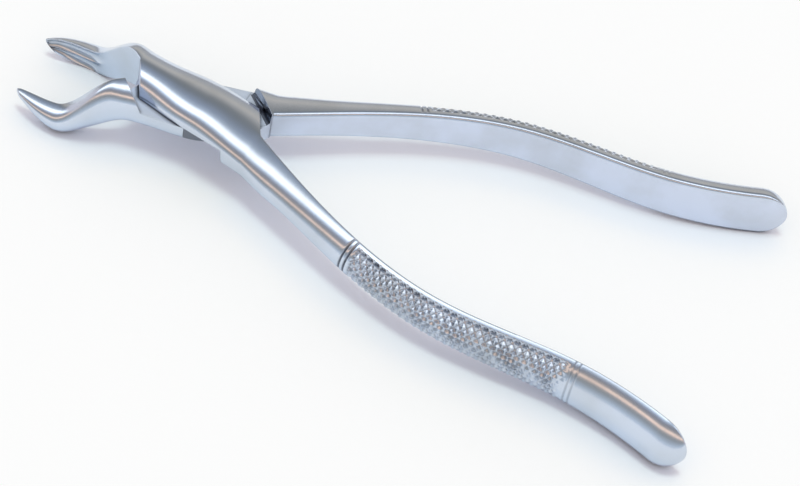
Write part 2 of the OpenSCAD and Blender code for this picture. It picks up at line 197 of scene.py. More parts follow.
class ForcepsSteel(bpy.types.PropertyGroup):
    """Finish of the steel."""
    base: colour("Steel", "Colour of the polished steel", (0.64, 0.715, 0.835))
    dull: colour("Dull steel", "Colour where the polish has dulled", (0.49, 0.53, 0.56))
    rough: amount("Roughness", "Roughness of the polish", 0.17)
    # Colour both of soiling and of painted shade: the crevices, the places close to other parts
    # and the faces of painted shade are darkened towards it.
    grime_and_shade: colour("Grime", "Colour of what has settled in the knurling and the corners",
                  (0.07, 0.075, 0.10))
    ground: colour("Ground steel", "Colour of the faces left ground flat", (0.69, 0.77, 0.91))
    ground_rough: amount("Ground roughness", "Roughness that grinding adds", 0.22)
    ground_metal: amount("Ground sheen", "How much a ground face still mirrors", 0.4)


class ForcepsStudio(bpy.types.PropertyGroup):
    """The table and the light."""
    floor: colour("Table", "Colour of the table", (0.985, 0.985, 0.985))
    # The table's colour close to the steel: a painted bluish glow that also darkens the paper a
    # little.
    near: colour("Table near", "Colour of the table close to the steel", (0.90, 0.935, 0.99))
    ambient: colour("Ambient", "Colour of the light all round", (0.79, 0.735, 0.76))
    key: amount("Key", "Strength of the key light", 0.82)
    key_soft: angle("Key softness", "Angle that the key light fills in the sky", 16)
    key_colour: colour("Key colour", "Colour of the key light", (0.78, 1.0, 0.90))


def settings():
    """Sizes of the joint, the beaks, the handles and the grips."""
    scene = bpy.context.scene
    return scene.forceps_joint, scene.forceps_beaks, scene.forceps_handles, scene.forceps_grips


# Curves of a half, drawn closed with its beak at +Y

def curve(keys, x):
    """Smooth curve through keys (x, value, slope), for an array of places."""
    keys = np.asarray(keys, float)
    x = np.asarray(x, float)
    i = np.clip(np.searchsorted(keys[:, 0], x, side="right") - 1, 0, len(keys) - 2)
    a, b = keys[i], keys[i + 1]
    d = b[..., 0] - a[..., 0]
    u = (x - a[..., 0]) / d
    return (a[..., 1] * (1 + 2 * u) * (1 - u) ** 2 + a[..., 2] * d * u * (1 - u) ** 2
            + b[..., 1] * u * u * (3 - 2 * u) + b[..., 2] * d * u * u * (u - 1))


def ramp(x, start, end):
    """Smooth step from 0 at start to 1 at end."""
    u = np.clip((x - start) / (end - start), 0, 1)
    return u * u * (3 - 2 * u)


def edge_x(r, deg, y):
    """Where the end edge of a cheek, tangent to its corner's circle, stands at y."""
    return (r - y * math.sin(deg)) / math.cos(deg)


class HalfForm:
    """The curves of a closed half, as keys of (x, value, slope), in metres."""
    crown_end = 0.002       # where the level crown and sole of the joint end
    root_h_x = 0.0195       # where the heights of the handle's root and grip are given
    grip_h_x = 0.0635
    under_bend = 0.0135     # from the pivot to where the beak's underside bends down
    flute_run = 0.005       # length over which the flutes reach their depth
    turn_l = 0.014          # length over which the handle's sections turn square to it
    beak_fade = 0.009       # lengths over which the joint's fullness fades out
    handle_fade = 0.018

    # For the under half and for the top half: length of the tip's nose, share of the
    # knurling's depth, and share of the rounding of the handle's edges
    nose_l, knurl_share, edge_share = (0.0012, 0.0004), (0.55, 1), (1.8, 0.6)

    # Fullness of the sections, (outward, up), on the crown and the beaks and on the underside
    # of the arms. A handle has its fullness, the share of its height where it is widest, and
    # how far its summit lies past the inner face at its start and its end.
    crown_n = (2.0, 2.1)
    arm_low_n = (2.2, 2.2)
    near_handle = ((2.0, 2.0), 0.33, (0.40, 0.45))
    far_handle = ((2.4, 5.0), 0.50, (0.0, 0.0))
    near_over = (0.012, 0.010)  # crown to near handle: from this x to this far past the root
    far_over = (0.0, 0.010)     # crown to far handle: from this x to this x
    corner_drop = 0.16          # how much lower the top cheek is widest at its corner
    drop_fade = (-0.010, 0.003)     # from where to where that fades out

    def __init__(self, fluted):
        joint, beak, handle, grips = settings()
        self.fluted, self.handle = fluted, handle
        self.knurl_d = grips.depth * self.knurl_share[fluted]
        self.handle_r = handle.edge_r * self.edge_share[fluted]
        self.shift = joint.shift if fluted else -joint.shift
        self.beak_root = edge_x(joint.beak_r, joint.beak_deg, -joint.root_gap)
        self.handle_root = edge_x(joint.handle_r, joint.handle_deg, -joint.root_gap)
        b, h, g = self.beak_root, self.handle_root, joint.root_gap
        self.beak_in = [(-beak.reach, beak.tip_in, 0.2), (-beak.belly_x, beak.belly_in, 0),
                        (-b, g, -0.6)]
        self.beak_out = [(-beak.reach, beak.tip_in + beak.tip_w, 0.8),
                         (-beak.out_x, beak.belly_out, 0), (-b, joint.beak_side, -0.08)]
        self.side = [(-b, joint.beak_side, -0.08), (0, joint.side, 0),
                     (h, joint.handle_side, 0.02)]
        self.handle_in = [(h, g, math.tan(handle.root_deg)),
                          (handle.belly_x, handle.belly_in, 0),
                          (handle.waist_x, handle.waist_in, 0),
                          (handle.reach, handle.end_in, math.tan(handle.end_deg))]
        self.handle_w = [(h, joint.handle_side - g, -0.2), (grips.start, handle.grip_w, -0.02),
                         (grips.end, handle.grip_w, 0), (handle.reach, handle.end_w, 0)]
        crown = joint.stand_h + 2 * joint.cheek_t + joint.spot_sink
        sole = joint.stand_h - joint.spot_sink
        tip_top = (beak.fluted_top, 0.8) if fluted else (beak.point_top, 0.12)
        tip_bottom = beak.fluted_bottom if fluted else beak.point_bottom
        self.tip_nose = self.nose_l[fluted]
        self.top = [(-beak.reach, *tip_top), (-beak.bend_end, beak.top_h, 0.08),
                    (-beak.bend_start, crown, 0), (self.crown_end, crown, 0),
                    (self.root_h_x, handle.root_top, -0.05),
                    (self.grip_h_x, handle.grip_top, -0.015),
                    (handle.reach, handle.end_top, -0.01)]
        self.bottom = [(-beak.reach, tip_bottom, -0.35), (-beak.belly_x, -beak.land_d, 0),
                       (-self.under_bend, sole, 0.02), (self.crown_end, sole, 0),
                       (self.root_h_x, handle.root_bottom, -0.05),
                       (self.grip_h_x, handle.grip_bottom, -0.06),
                       (handle.reach - handle.land_l, -handle.land_d, -0.035),
                       (handle.reach, -handle.land_d, 0)]

    def fullness(self, x, under_n):
        """Fullness of a section's lower and upper part at x, where it is widest, and how
        far past the inner face its summit lies."""
        part = float(self.joint_part(x))
        start, end = self.near_over if self.fluted else self.far_over
        t = float(ramp(x, start, end + self.handle_root * self.fluted))
        low = tuple(a + (under_n - a) * part for a in self.arm_low_n)
        handle_n, belly, (slow, fast) = self.near_handle if self.fluted else self.far_handle
        up = tuple(a + (b - a) * t for a, b in zip(self.crown_n, handle_n))
        lead = t * (slow + (fast - slow) * float(ramp(x, self.grip_h_x, self.handle.reach)))
        drop = self.corner_drop * self.fluted * part * (1 - float(ramp(x, *self.drop_fade)))
        return low, up, 0.5 - drop + (belly - 0.5) * t, lead

    def joint_part(self, x):
        """How much of the joint's fullness and shift a section at x has, from 0 to 1."""
        return (ramp(x, -self.beak_root - self.beak_fade, -self.beak_root)
                * (1 - ramp(x, self.handle_root, self.handle_root + self.handle_fade)))


def round_side(w, half, full, start, steps):
    """Round side of a section as (outward, up) points from the bottom to the top, at the
    shares of its length in steps. It starts and ends at the outward distance start. full is
    (outward, up) for the lower part, (outward, up) for the upper part, where 2 is an ellipse
    and larger is fuller, then the share of the height at which the side is widest, and by
    what share of its width the upper curve's summit lies past the inner face."""
    low_n, up_n, belly, lead = full
    level, low_h, up_h = (2 * belly - 1) * half, 2 * belly * half, 2 * (1 - belly) * half
    past = lead * w
    up_h /= (1 - (past / (w + past)) ** up_n[0]) ** (1 / up_n[1])
    a = np.radians(np.linspace(0, 90, 181))
    low_out = w * np.cos(a[::-1]) ** (2 / low_n[0])
    low_up = level - low_h * np.sin(a[::-1]) ** (2 / low_n[1])
    up_out = (w + past) * np.cos(a[1:]) ** (2 / up_n[0]) - past
    up_up = level + up_h * np.sin(a[1:]) ** (2 / up_n[1])
    out, up = np.concatenate([low_out, up_out]), np.concatenate([low_up, up_up])
    keep = out > start
    low = level - low_h * (1 - (start / w) ** low_n[0]) ** (1 / low_n[1])
    high = level + up_h * (1 - ((start + past) / (w + past)) ** up_n[0]) ** (1 / up_n[1])
    out = np.concatenate([[start], out[keep], [start]])
    up = np.concatenate([[low], up[keep], [high]])
    run = np.concatenate([[0], np.cumsum(np.hypot(np.diff(out), np.diff(up)))])
    return np.interp(steps * run[-1], run, out), np.interp(steps * run[-1], run, up)


def flat_side(low, high, r, count, corner, hollow):
    """Flat inner side of a section as (into the steel, up) points from the bottom to the
    top, with its two edges rounded by r and two flutes of depth hollow."""
    t = np.linspace(0, math.pi / 2, corner + 1)
    foot_out, foot_up = r - r * np.sin(t), low + r - r * np.cos(t)
    s = np.linspace(0, 1, count - 2 * corner)[1:-1]
    face_up = low + r + (high - low - 2 * r) * s
    face_out = hollow * np.abs(np.sin(2 * math.pi * s)) ** FLUTE_FULL
    head_out, head_up = foot_out[::-1], high - r + r * np.cos(t[::-1])
    return (np.concatenate([foot_out, face_out, head_out]),
            np.concatenate([foot_up, face_up, head_up]))


KNURL_DIVISIONS = 5     # mesh divisions of half a diamond's pitch, of a row and of the border
CORNER_STEPS = 6        # mesh divisions of a rounded edge
NOSE_DEG = (12, 24, 36, 47, 57, 66, 74, 81, 86.5)   # where the two ends have their sections
GRIP_ROUND = 0.0152     # length of the round side in the grip
SWITCH = 0.0002         # between the joint's first and last sections and the next ones
END_INSET = 0.00018     # what the handle's end stays inside its reach
RING_SHARE = (1.0, 1.0, 0.45, 0.45)     # depth of each ring groove, from the joint outwards
RING_FADE = 0.35        # how slowly a ring groove runs out at the inner face, 0 for at once
FLUTE_FULL = 0.85       # fullness of a flute's section, 1 for a sine
KNURL_SEED = 3
KNURL_LEAD_IN = 0.0006  # length over which the knurling deepens at its start
KNURL_RUN_OUT = (-0.0036, 0.0010)       # where it fades out, from its end


def knurl_height(along, across, rows, pitch, depth, seed):
    """Height of the diamonds at places along the grip and at rows across it. Two families
    of grooves cross, and near is 0 on a groove's line and 0.5 midway between two."""
    half = pitch / 2
    fam_a, fam_b = (along / half + across) / 2, (along / half - across) / 2
    near = np.minimum(np.abs(fam_a - np.round(fam_a)), np.abs(fam_b - np.round(fam_b)))
    cut = np.clip(1.12 - 2.24 * near, 0, 1)
    rng = np.random.RandomState(seed)
    wear = np.zeros_like(along)
    for _ in range(6):
        kx, ky, ph = rng.uniform(150, 900), rng.uniform(0.2, 1.1), rng.uniform(0, 6.28)
        wear += np.sin(along * kx + across * ky + ph)
    edge = np.clip(np.minimum(across, rows - across) / 0.35, 0, 1)
    return -depth * cut * edge * (1 + 0.05 * wear)


def grip_places(grips):
    """Places of the four ring grooves, and where the knurling starts and ends."""
    rings = [grips.start, grips.start + grips.ring_step, grips.end - grips.ring_step, grips.end]
    return rings, rings[1] + grips.ring_w, rings[2] - grips.ring_w


def grip_cut(form, x, steps, across):
    """What the ring grooves and the knurling take off the round side of a handle at x."""
    grips = bpy.context.scene.forceps_grips
    rings, start, end = grip_places(grips)
    cut = np.zeros(len(steps))
    for ring, share in zip(rings, RING_SHARE):
        near = abs(x - ring) / (grips.ring_w / 2)
        if near < 1:
            cut -= share * grips.ring_d * (0.5 + 0.5 * math.cos(math.pi * near)) \
                * np.sin(math.pi * steps) ** RING_FADE
    if start < x < end:
        fade = float(ramp(x, start, start + KNURL_LEAD_IN)
                     * (1 - ramp(x, end + KNURL_RUN_OUT[0], end + KNURL_RUN_OUT[1])))
        cut += fade * knurl_height(np.full(len(steps), x - start), across, grips.rows,
                                   grips.pitch, form.knurl_d, KNURL_SEED + form.fluted)
    return cut


def stations(form):
    """Where a half has its sections, as (part, x, share of the full section)."""
    _, beak, handle, grips = settings()
    rings, start, end = grip_places(grips)
    nose = np.radians(NOSE_DEG)
    end_nose = (handle.end_top + handle.land_d) / 2
    beak_to, beak_from = -beak.reach + form.tip_nose, -form.beak_root - SWITCH
    handle_from = form.handle_root + SWITCH
    handle_to = handle.reach - end_nose - END_INSET
    knurls = int(2 * (end - start) / grips.pitch) * KNURL_DIVISIONS
    xs = np.concatenate([np.linspace(handle_from, rings[0] - grips.ring_w, 80),
                         np.linspace(rings[0] - grips.ring_w / 2, start, 34),
                         np.linspace(start, end, knurls + 1)[1:],
                         np.linspace(end, rings[3] + grips.ring_w / 2, 34)[1:],
                         np.linspace(rings[3] + grips.ring_w, handle_to, 50)])
    places = [("beak", beak_to - form.tip_nose * math.sin(t), math.cos(t)) for t in nose[::-1]]
    places += [("beak", x, 1) for x in np.linspace(beak_to, beak_from, 64)]
    places += [("joint", x, 1) for x in np.linspace(-form.beak_root, form.handle_root, 80)]
    places += [("handle", x, 1) for x in xs]
    places += [("handle", handle_to + end_nose * math.sin(t), math.cos(t)) for t in nose]
    return places


def skin(name, rings):
    """Closed mesh over rings of points, with a fan over each end."""
    n, m = len(rings[0]), len(rings)
    verts = np.concatenate(rings + [rings[0].mean(0)[None], rings[-1].mean(0)[None]])
    j, k = np.meshgrid(np.arange(m - 1), np.arange(n), indexing="ij")
    a, c = j * n + k, j * n + (k + 1) % n
    faces = np.stack([a, c, c + n, a + n], axis=-1).reshape(-1, 4).tolist()
    last = (m - 1) * n
    faces += [[m * n, (q + 1) % n, q] for q in range(n)]
    faces += [[m * n + 1, last + q, last + (q + 1) % n] for q in range(n)]
    mesh = bpy.data.meshes.new(name)
    mesh.from_pydata(verts.tolist(), [], faces)
    return mesh


def half_blank(name, fluted):
    """Closed blank of a half as one lofted mesh, before it is cut."""
    form = HalfForm(fluted)
    joint, beak, _, grips = settings()
    rows, div = grips.rows, KNURL_DIVISIONS
    b = grips.border / GRIP_ROUND
    steps = np.concatenate([np.linspace(0, b, div + 1)[:-1],
                            np.linspace(b, 1 - b, rows * div + 1),
                            np.linspace(1 - b, 1, div + 1)[1:]])
    across = np.interp(steps, [b, 1 - b], [0, rows], left=-1, right=rows + 1)
    thin, slope_step = 0.3, 1e-5
    places = stations(form)
    rings = []
    for kind, x, shrink in places:
        full_n = form.fullness(x, joint.under_n)
        top, bottom = float(curve(form.top, x)), float(curve(form.bottom, x))
        mid, full = (top + bottom) / 2, (top - bottom) / 2
        half = shrink * full
        turn = lean = 0.0
        if kind == "joint":
            u = (x + form.beak_root) / (form.beak_root + form.handle_root)
            y = joint.root_gap * (1 - 2 * u)
            side, off = float(curve(form.side, x)), form.shift * (1 - u)
            o_minus, v_minus = round_side(side + y - off, half, full_n, 0, steps)
            u_plus, v_plus = round_side(side - y + off, half, full_n, 0, steps)
            u_minus = -o_minus
        else:
            if kind == "beak":
                y = float(curve(form.beak_in, x))
                w = float(curve(form.beak_out, x)) - y + form.shift * float(form.joint_part(x))
                lean = fluted * beak.tip_lean * float(ramp(-x, beak.belly_x, beak.reach))
                hollow = fluted * min(beak.flute_d, thin * w) * float(
                    ramp(-x, beak.flute_start, beak.flute_start + form.flute_run))
                r = beak.edge_r
            else:
                y = -float(curve(form.handle_in, x))
                rise = float(curve(form.handle_in, x + slope_step)
                             - curve(form.handle_in, x - slope_step))
                turn = -math.atan(rise / (2 * slope_step)) * float(
                    ramp(x, form.handle_root, form.handle_root + form.turn_l))
                w = float(curve(form.handle_w, x))
                hollow = 0.0
                r = form.handle_r
            w *= shrink
            r = min(r * shrink, thin * w, thin * half)
            out, up = round_side(w, half, full_n, r, steps)
            f_out, f_up = flat_side(up[0], up[-1], r, len(steps), CORNER_STEPS, shrink * hollow)
            if kind == "handle" and shrink == 1:
                cut = grip_cut(form, x, steps, across)
                d_out, d_up = np.gradient(out), np.gradient(up)
                size = np.hypot(d_out, d_up)
                out, up = out + cut * d_up / size, up - cut * d_out / size
            if kind == "beak":
                u_minus, v_minus, u_plus, v_plus = f_out, f_up, out, up
            else:
                u_minus, v_minus, u_plus, v_plus = -out, up, -f_out, f_up
        u_ring = np.concatenate([u_minus[:-1], u_plus[::-1][:-1]])
        v_ring = np.concatenate([v_minus[:-1], v_plus[::-1][:-1]])
        rings.append(np.stack([x - lean / 2 * v_ring / full - u_ring * math.sin(turn),
                               y + u_ring * math.cos(turn),
                               mid + v_ring - joint.stand_h], axis=1))
    mesh = skin(name, rings)
    # The second half of a ring's faces is the flat side, without its rounded edges
    n = len(rings[0])
    flat_at = np.arange(n // 2 + CORNER_STEPS, n - CORNER_STEPS)
    slots = np.zeros(len(mesh.polygons), np.int32)
    for j, (kind, _, _) in enumerate(places[:-1]):
        if kind == "handle":
            slots[j * n + flat_at] = GROUND
    mesh.polygons.foreach_set("material_index", slots)
    mark_slots(mesh)
    return mesh


# Cutting

# Finishes of faces, and two kinds of painted shade. They are material slots while a half is cut,
# because a cut face takes its cutter's slot, and two attributes after that: the share of ground
# finish and the share of painted shade in a face.
POLISHED, GROUND, SHADED, HALF_SHADED = FINISHES_AND_SHADES = range(4)
GROUND_SHARE = {GROUND: 1.0}
# Shares of painted shade: the relief's faces fully, the faces of the handle's shoulders at 0.6.
SHADE_SHARE = {SHADED: 1.0, HALF_SHADED: 0.6}
CUT_WIDE = 0.024        # further out than the sides of the joint


def mark_slots(mesh):
    """Gives a mesh one empty slot for each finish."""
    for _ in FINISHES_AND_SHADES:
        mesh.materials.append(None)


def mark_faces(mesh):
    """Turns the slots of the finishes into the two attributes that the steel reads."""
    slots = np.zeros(len(mesh.polygons), np.int32)
    mesh.polygons.foreach_get("material_index", slots)
    for name, share in (("ground_face", GROUND_SHARE), ("painted_shade_face", SHADE_SHARE)):
        mark = mesh.attributes.new(name, "FLOAT", "FACE")
        value = sum((slots == slot) * part for slot, part in share.items())
        mark.data.foreach_set("value", value.astype(np.float32))
    mesh.polygons.foreach_set("material_index", np.zeros_like(slots))
    mesh.materials.clear()


def prism(outline, z0, z1, matrix=None, finish=GROUND):
    """Cutter: an outline drawn in the XY plane and raised from z0 to z1. The faces that it
    cuts get its finish, or the painted shade that some cutters carry."""
    bm = bmesh.new()
    low = [bm.verts.new((x, y, z0)) for x, y in outline]
    high = [bm.verts.new((x, y, z1)) for x, y in outline]
    bm.faces.new(low[::-1])
    bm.faces.new(high)
    for i in range(len(outline)):
        k = (i + 1) % len(outline)
        bm.faces.new((low[i], low[k], high[k], high[i]))
    if matrix is not None:
        bm.transform(matrix)
    bmesh.ops.triangulate(bm, faces=bm.faces[:])
    bmesh.ops.recalc_face_normals(bm, faces=bm.faces[:])
    mesh = bpy.data.meshes.new("cutter")
    bm.to_mesh(mesh)
    bm.free()
    mesh.polygons.foreach_set("material_index", [finish] * len(mesh.polygons))
    mark_slots(mesh)
    obj = bpy.data.objects.new("cutter", mesh)
    bpy.context.scene.collection.objects.link(obj)
    return obj


def circle(r, count=96):
    """Points of a circle round the pivot."""
    return [(r * math.cos(2 * math.pi * i / count), r * math.sin(2 * math.pi * i / count))
            for i in range(count)]


def cut_away(obj, cutters):
    """Takes the cutters out of the piece and removes them."""
    for cutter in cutters:
        mod = obj.modifiers.new("cut", "BOOLEAN")
        mod.operation, mod.solver, mod.object = "DIFFERENCE", "MANIFOLD", cutter
        mod.material_mode = "INDEX"
    bpy.context.view_layer.update()
    graph = bpy.context.evaluated_depsgraph_get()
    mesh = bpy.data.meshes.new_from_object(obj.evaluated_get(graph))
    obj.modifiers.clear()
    old, obj.data = obj.data, mesh
    mesh.name = obj.name
    bpy.data.meshes.remove(old)
    for cutter in cutters:
        bpy.data.meshes.remove(cutter.data)


def joint_cutters(side):
    """Cutters that make the lap joint in a half: the edges of its cheek, the room for the
    other cheek with its two leaning shoulders, and the face that lies on the table. side is
    1 for the under half and -1 for the top half."""
    joint = bpy.context.scene.forceps_joint
    wide, g = CUT_WIDE, joint.root_gap
    lap_z = joint.cheek_t - side * joint.lap_gap / 2
    r_b, r_h = joint.beak_r + joint.shoulder_gap, joint.handle_r + joint.shoulder_gap
    handle_edge = [(edge_x(joint.handle_r, joint.handle_deg, -g), -g),
                   (edge_x(joint.handle_r, joint.handle_deg, wide), wide),
                   (FAR, wide), (FAR, -g)]
    beak_edge = [(-edge_x(joint.beak_r, joint.beak_deg, -g), g),
                 (-edge_x(joint.beak_r, joint.beak_deg, wide), -wide),
                 (-FAR, -wide), (-FAR, g)]
    lap = [(-edge_x(r_b, joint.beak_deg, wide), wide),
           (-edge_x(r_b, joint.beak_deg, -wide), -wide),
           (edge_x(r_h, joint.handle_deg, wide), -wide),
           (edge_x(r_h, joint.handle_deg, -wide), wide)]
    table = [(-FAR, -FAR), (FAR, -FAR), (FAR, FAR), (-FAR, FAR)]
    cutters = [prism(handle_edge, -FAR, FAR), prism(beak_edge, -FAR, FAR),
               prism(lap, lap_z, FAR) if side > 0 else prism(lap, -FAR, lap_z)]
    # The beak's shoulders are ground; the handle's shoulders get painted shade at part strength.
    for deg, r, lean, finish in ((joint.beak_deg, -r_b, -joint.beak_lean, GROUND),
                                 (joint.handle_deg, r_h, joint.handle_lean, HALF_SHADED)):
        t = 2 * joint.cheek_t
        wedge = [(0, 0), (2 * lean, t), (-2 * lean, t), (-2 * lean, 0)]
        place = (Matrix.Translation((0, 0, lap_z)) @ Matrix.Diagonal((1, 1, side, 1))
                 @ Matrix.Rotation(-deg, 4, "Z") @ Matrix.Translation((r, 0, 0))
                 @ Matrix.Rotation(math.radians(90), 4, "X"))
        cutters.append(prism(wedge, -wide, wide, place, finish))
    cutters.append(prism(table, -FAR, -joint.stand_h))
    return cutters


def top_cutters():
    """Cutter of the threaded hole in the top half."""
    joint, screw = bpy.context.scene.forceps_joint, bpy.context.scene.forceps_screw
    hole_top = joint.cheek_t + joint.lap_gap / 2 + screw.thread_hole_h
    return [prism(circle(screw.thread_hole_r), -FAR, hole_top)]


def under_cutters():
    """Cutters of the relief beside the under cheek, and of the screw's holes."""
    joint, screw = bpy.context.scene.forceps_joint, bpy.context.scene.forceps_screw
    corner = edge_x(joint.handle_r, joint.handle_deg, joint.side)
    low = joint.side - joint.shift
    relief = [(corner - joint.relief_l, low), (corner, low - joint.relief_d),
              (corner + joint.relief_d, joint.side), (corner, CUT_WIDE),
              (corner - joint.relief_l, CUT_WIDE)]
    # The relief's faces get painted shade: they are darkened as the recess would be shaded.
    return [prism(relief, -FAR, FAR, finish=SHADED),
            prism(circle(screw.spot_r), -FAR, 0),
            prism(circle(screw.head_hole_r), -FAR, screw.head_hole_h),
            prism(circle(screw.shank_hole_r), -FAR, FAR)]


def make_half(name, fluted):
    """One half, cut and swung to its open place, as an object. The faces of both look inwards."""
    obj = bpy.data.objects.new(name, half_blank(name, fluted))
    bpy.context.scene.collection.objects.link(obj)
    swing = bpy.context.scene.forceps_joint.open_angle / 2
    if fluted:
        cut_away(obj, joint_cutters(-1) + top_cutters())
        obj.data.transform(Matrix.Rotation(-swing, 4, "Z"))
    else:
        cut_away(obj, joint_cutters(1) + under_cutters())
        obj.data.transform(Matrix.Rotation(swing, 4, "Z") @ Matrix.Diagonal((1, -1, 1, 1)))
        obj.data.flip_normals()
    mark_faces(obj.data)
    smooth(obj.data)
    return obj


def smooth(mesh):
    """Shades a mesh smooth, apart from its sharp edges."""
    mesh.polygons.foreach_set("use_smooth", [True] * len(mesh.polygons))
    mesh.set_sharp_from_angle(angle=math.radians(SHARP_DEG))
    mesh.update()


def lathe(name, outline, count=96):
    """Turned piece from an outline of (radius, height) points, closed on the axis."""
    verts = [(x, y, z) for r, z in outline for x, y in circle(r, count)]
    faces = []
    for j in range(len(outline) - 1):
        for i in range(count):
            k = (i + 1) % count
            faces.append((j * count + i, j * count + k, (j + 1) * count + k, (j + 1) * count + i))
    faces.append(tuple(range(count))[::-1])
    faces.append(tuple((len(outline) - 1) * count + i for i in range(count)))
    mesh = bpy.data.meshes.new(name)
    mesh.from_pydata(verts, [], faces)
    smooth(mesh)
    obj = bpy.data.objects.new(name, mesh)
    bpy.context.scene.collection.objects.link(obj)
    return obj


# Materials

def add(tree, kind, place, inputs=None, **values):
    """A node of a kind at a place, with attributes and the values of inputs set."""
    node = tree.nodes.new(kind)
    node.location = place
    for key, value in values.items():
        setattr(node, key, value)
    for key, value in (inputs or {}).items():
        node.inputs[key].default_value = value
    return node


def wire(tree, *links):
    """Links pairs of sockets, the output first."""
    for start, end in links:
        tree.links.new(start, end)


def painted(name):
    """A new material with its node tree and its Principled shader."""
    mat = bpy.data.materials.new(name)
    mat.use_nodes = True
    return mat, mat.node_tree, mat.node_tree.nodes["Principled BSDF"]


def polish_marks():
    """Group: fine polishing scratches, dulled patches, and a mask of the crevices and of places
    close to other parts, used for soiling and painted shade.
    """
    group = bpy.data.node_groups.get("polish_marks")
    if group:
        return group
    group = bpy.data.node_groups.new("polish_marks", "ShaderNodeTree")
    for name in ("Scratch Scale", "Scratch Depth", "Patch Scale"):
        group.interface.new_socket(name=name, in_out="INPUT", socket_type="NodeSocketFloat")
    for name in ("Scratches", "Patches", "Crevices"):
        group.interface.new_socket(name=name, in_out="OUTPUT", socket_type="NodeSocketFloat")
    start = add(group, "NodeGroupInput", (-900, 0))
    end = add(group, "NodeGroupOutput", (600, 0))
    coords = add(group, "ShaderNodeTexCoord", (-900, 300))
    stretch = add(group, "ShaderNodeMapping", (-700, 300), {"Scale": (34.0, 4.0, 4.0)})
    lines = add(group, "ShaderNodeTexNoise", (-480, 300), {"Detail": 6.0, "Roughness": 0.7})
    depth = add(group, "ShaderNodeMath", (-200, 300), operation="MULTIPLY")
    patch = add(group, "ShaderNodeTexNoise", (-480, 0), {"Detail": 5.0})
    spread = add(group, "ShaderNodeMapRange", (-200, 0), {"From Min": 0.38, "From Max": 0.68})
    # Occlusion within about a millimetre finds the crevices and the places close to the other
    # half, the screw and the table. The steel is darkened there, partly as soiling and partly as
    # painted shade.
    close = add(group, "ShaderNodeAmbientOcclusion", (-480, -300), {"Distance": 0.0011},
                samples=8)
    dirt_and_shade = add(group, "ShaderNodeMapRange", (-200, -300), {"From Min": 0.975, "From Max": 0.62})
    wire(group,
         (coords.outputs["Object"], stretch.inputs["Vector"]),
         (stretch.outputs["Vector"], lines.inputs["Vector"]),
         (start.outputs["Scratch Scale"], lines.inputs["Scale"]),
         (lines.outputs["Fac"], depth.inputs[0]),
         (start.outputs["Scratch Depth"], depth.inputs[1]),
         (depth.outputs[0], end.inputs["Scratches"]),
         (coords.outputs["Object"], patch.inputs["Vector"]),
         (start.outputs["Patch Scale"], patch.inputs["Scale"]),
         (patch.outputs["Fac"], spread.inputs["Value"]),
         (spread.outputs["Result"], end.inputs["Patches"]),
         (close.outputs["AO"], dirt_and_shade.inputs["Value"]),
         (dirt_and_shade.outputs["Result"], end.inputs["Crevices"]))
    return group


def steel(name, rough, tone=1.0, dull=0.4, marked=True):
    """Polished steel with scratches and dulled patches, darkened in its crevices and close to
    other parts, partly as soiling and partly as painted shade.
    A marked mesh also shows its ground faces and its faces of painted shade."""
    look = bpy.context.scene.forceps_steel
    mat, tree, shader = painted(name)
    bright, worn = (*[c * tone for c in look.base], 1), (*[c * tone for c in look.dull], 1)
    shader.inputs["Metallic"].default_value = 1.0
    marks = add(tree, "ShaderNodeGroup", (-900, 0), node_tree=polish_marks())
    for key, value in (("Scratch Scale", 60.0), ("Scratch Depth", 1.0), ("Patch Scale", 90.0)):
        marks.inputs[key].default_value = value

    soft = add(tree, "ShaderNodeMath", (-620, 200), {1: dull}, operation="MULTIPLY")
    tint = add(tree, "ShaderNodeMix", (-400, 200), {"A": bright, "B": worn}, data_type="RGBA")
    grime_and_shade = add(tree, "ShaderNodeMix", (0, 200), {"B": (*look.grime_and_shade, 1)}, data_type="RGBA")
    wire(tree,
         (marks.outputs["Patches"], soft.inputs[0]),
         (soft.outputs[0], tint.inputs["Factor"]),
         (marks.outputs["Crevices"], grime_and_shade.inputs["Factor"]),
         (tint.outputs["Result"], grime_and_shade.inputs["A"]),
         (grime_and_shade.outputs["Result"], shader.inputs["Base Color"]))

    half = add(tree, "ShaderNodeMath", (-760, -250), {1: 0.5}, operation="MULTIPLY")
    mixed = add(tree, "ShaderNodeMath", (-620, -100), {1: 0.5}, operation="MULTIPLY_ADD")
    gloss = add(tree, "ShaderNodeMapRange", (-400, -100),
                {"To Min": rough * 0.75, "To Max": rough * 1.35})
    wire(tree,
         (marks.outputs["Patches"], half.inputs[0]),
         (marks.outputs["Scratches"], mixed.inputs[0]),
         (half.outputs[0], mixed.inputs[2]),
         (mixed.outputs[0], gloss.inputs["Value"]),
         (gloss.outputs["Result"], shader.inputs["Roughness"]))

    round_edge = add(tree, "ShaderNodeBevel", (-620, -450), {"Radius": 0.00018}, samples=4)
    bump = add(tree, "ShaderNodeBump", (-400, -350), {"Strength": 0.6, "Distance": 0.00004})
    wire(tree,
         (round_edge.outputs["Normal"], bump.inputs["Normal"]),
         (marks.outputs["Scratches"], bump.inputs["Height"]),
         (bump.outputs["Normal"], shader.inputs["Normal"]))
    if marked:
        ground_and_shade_faces(tree, shader, look, bright, marks, tint, grime_and_shade, gloss)
    return mat


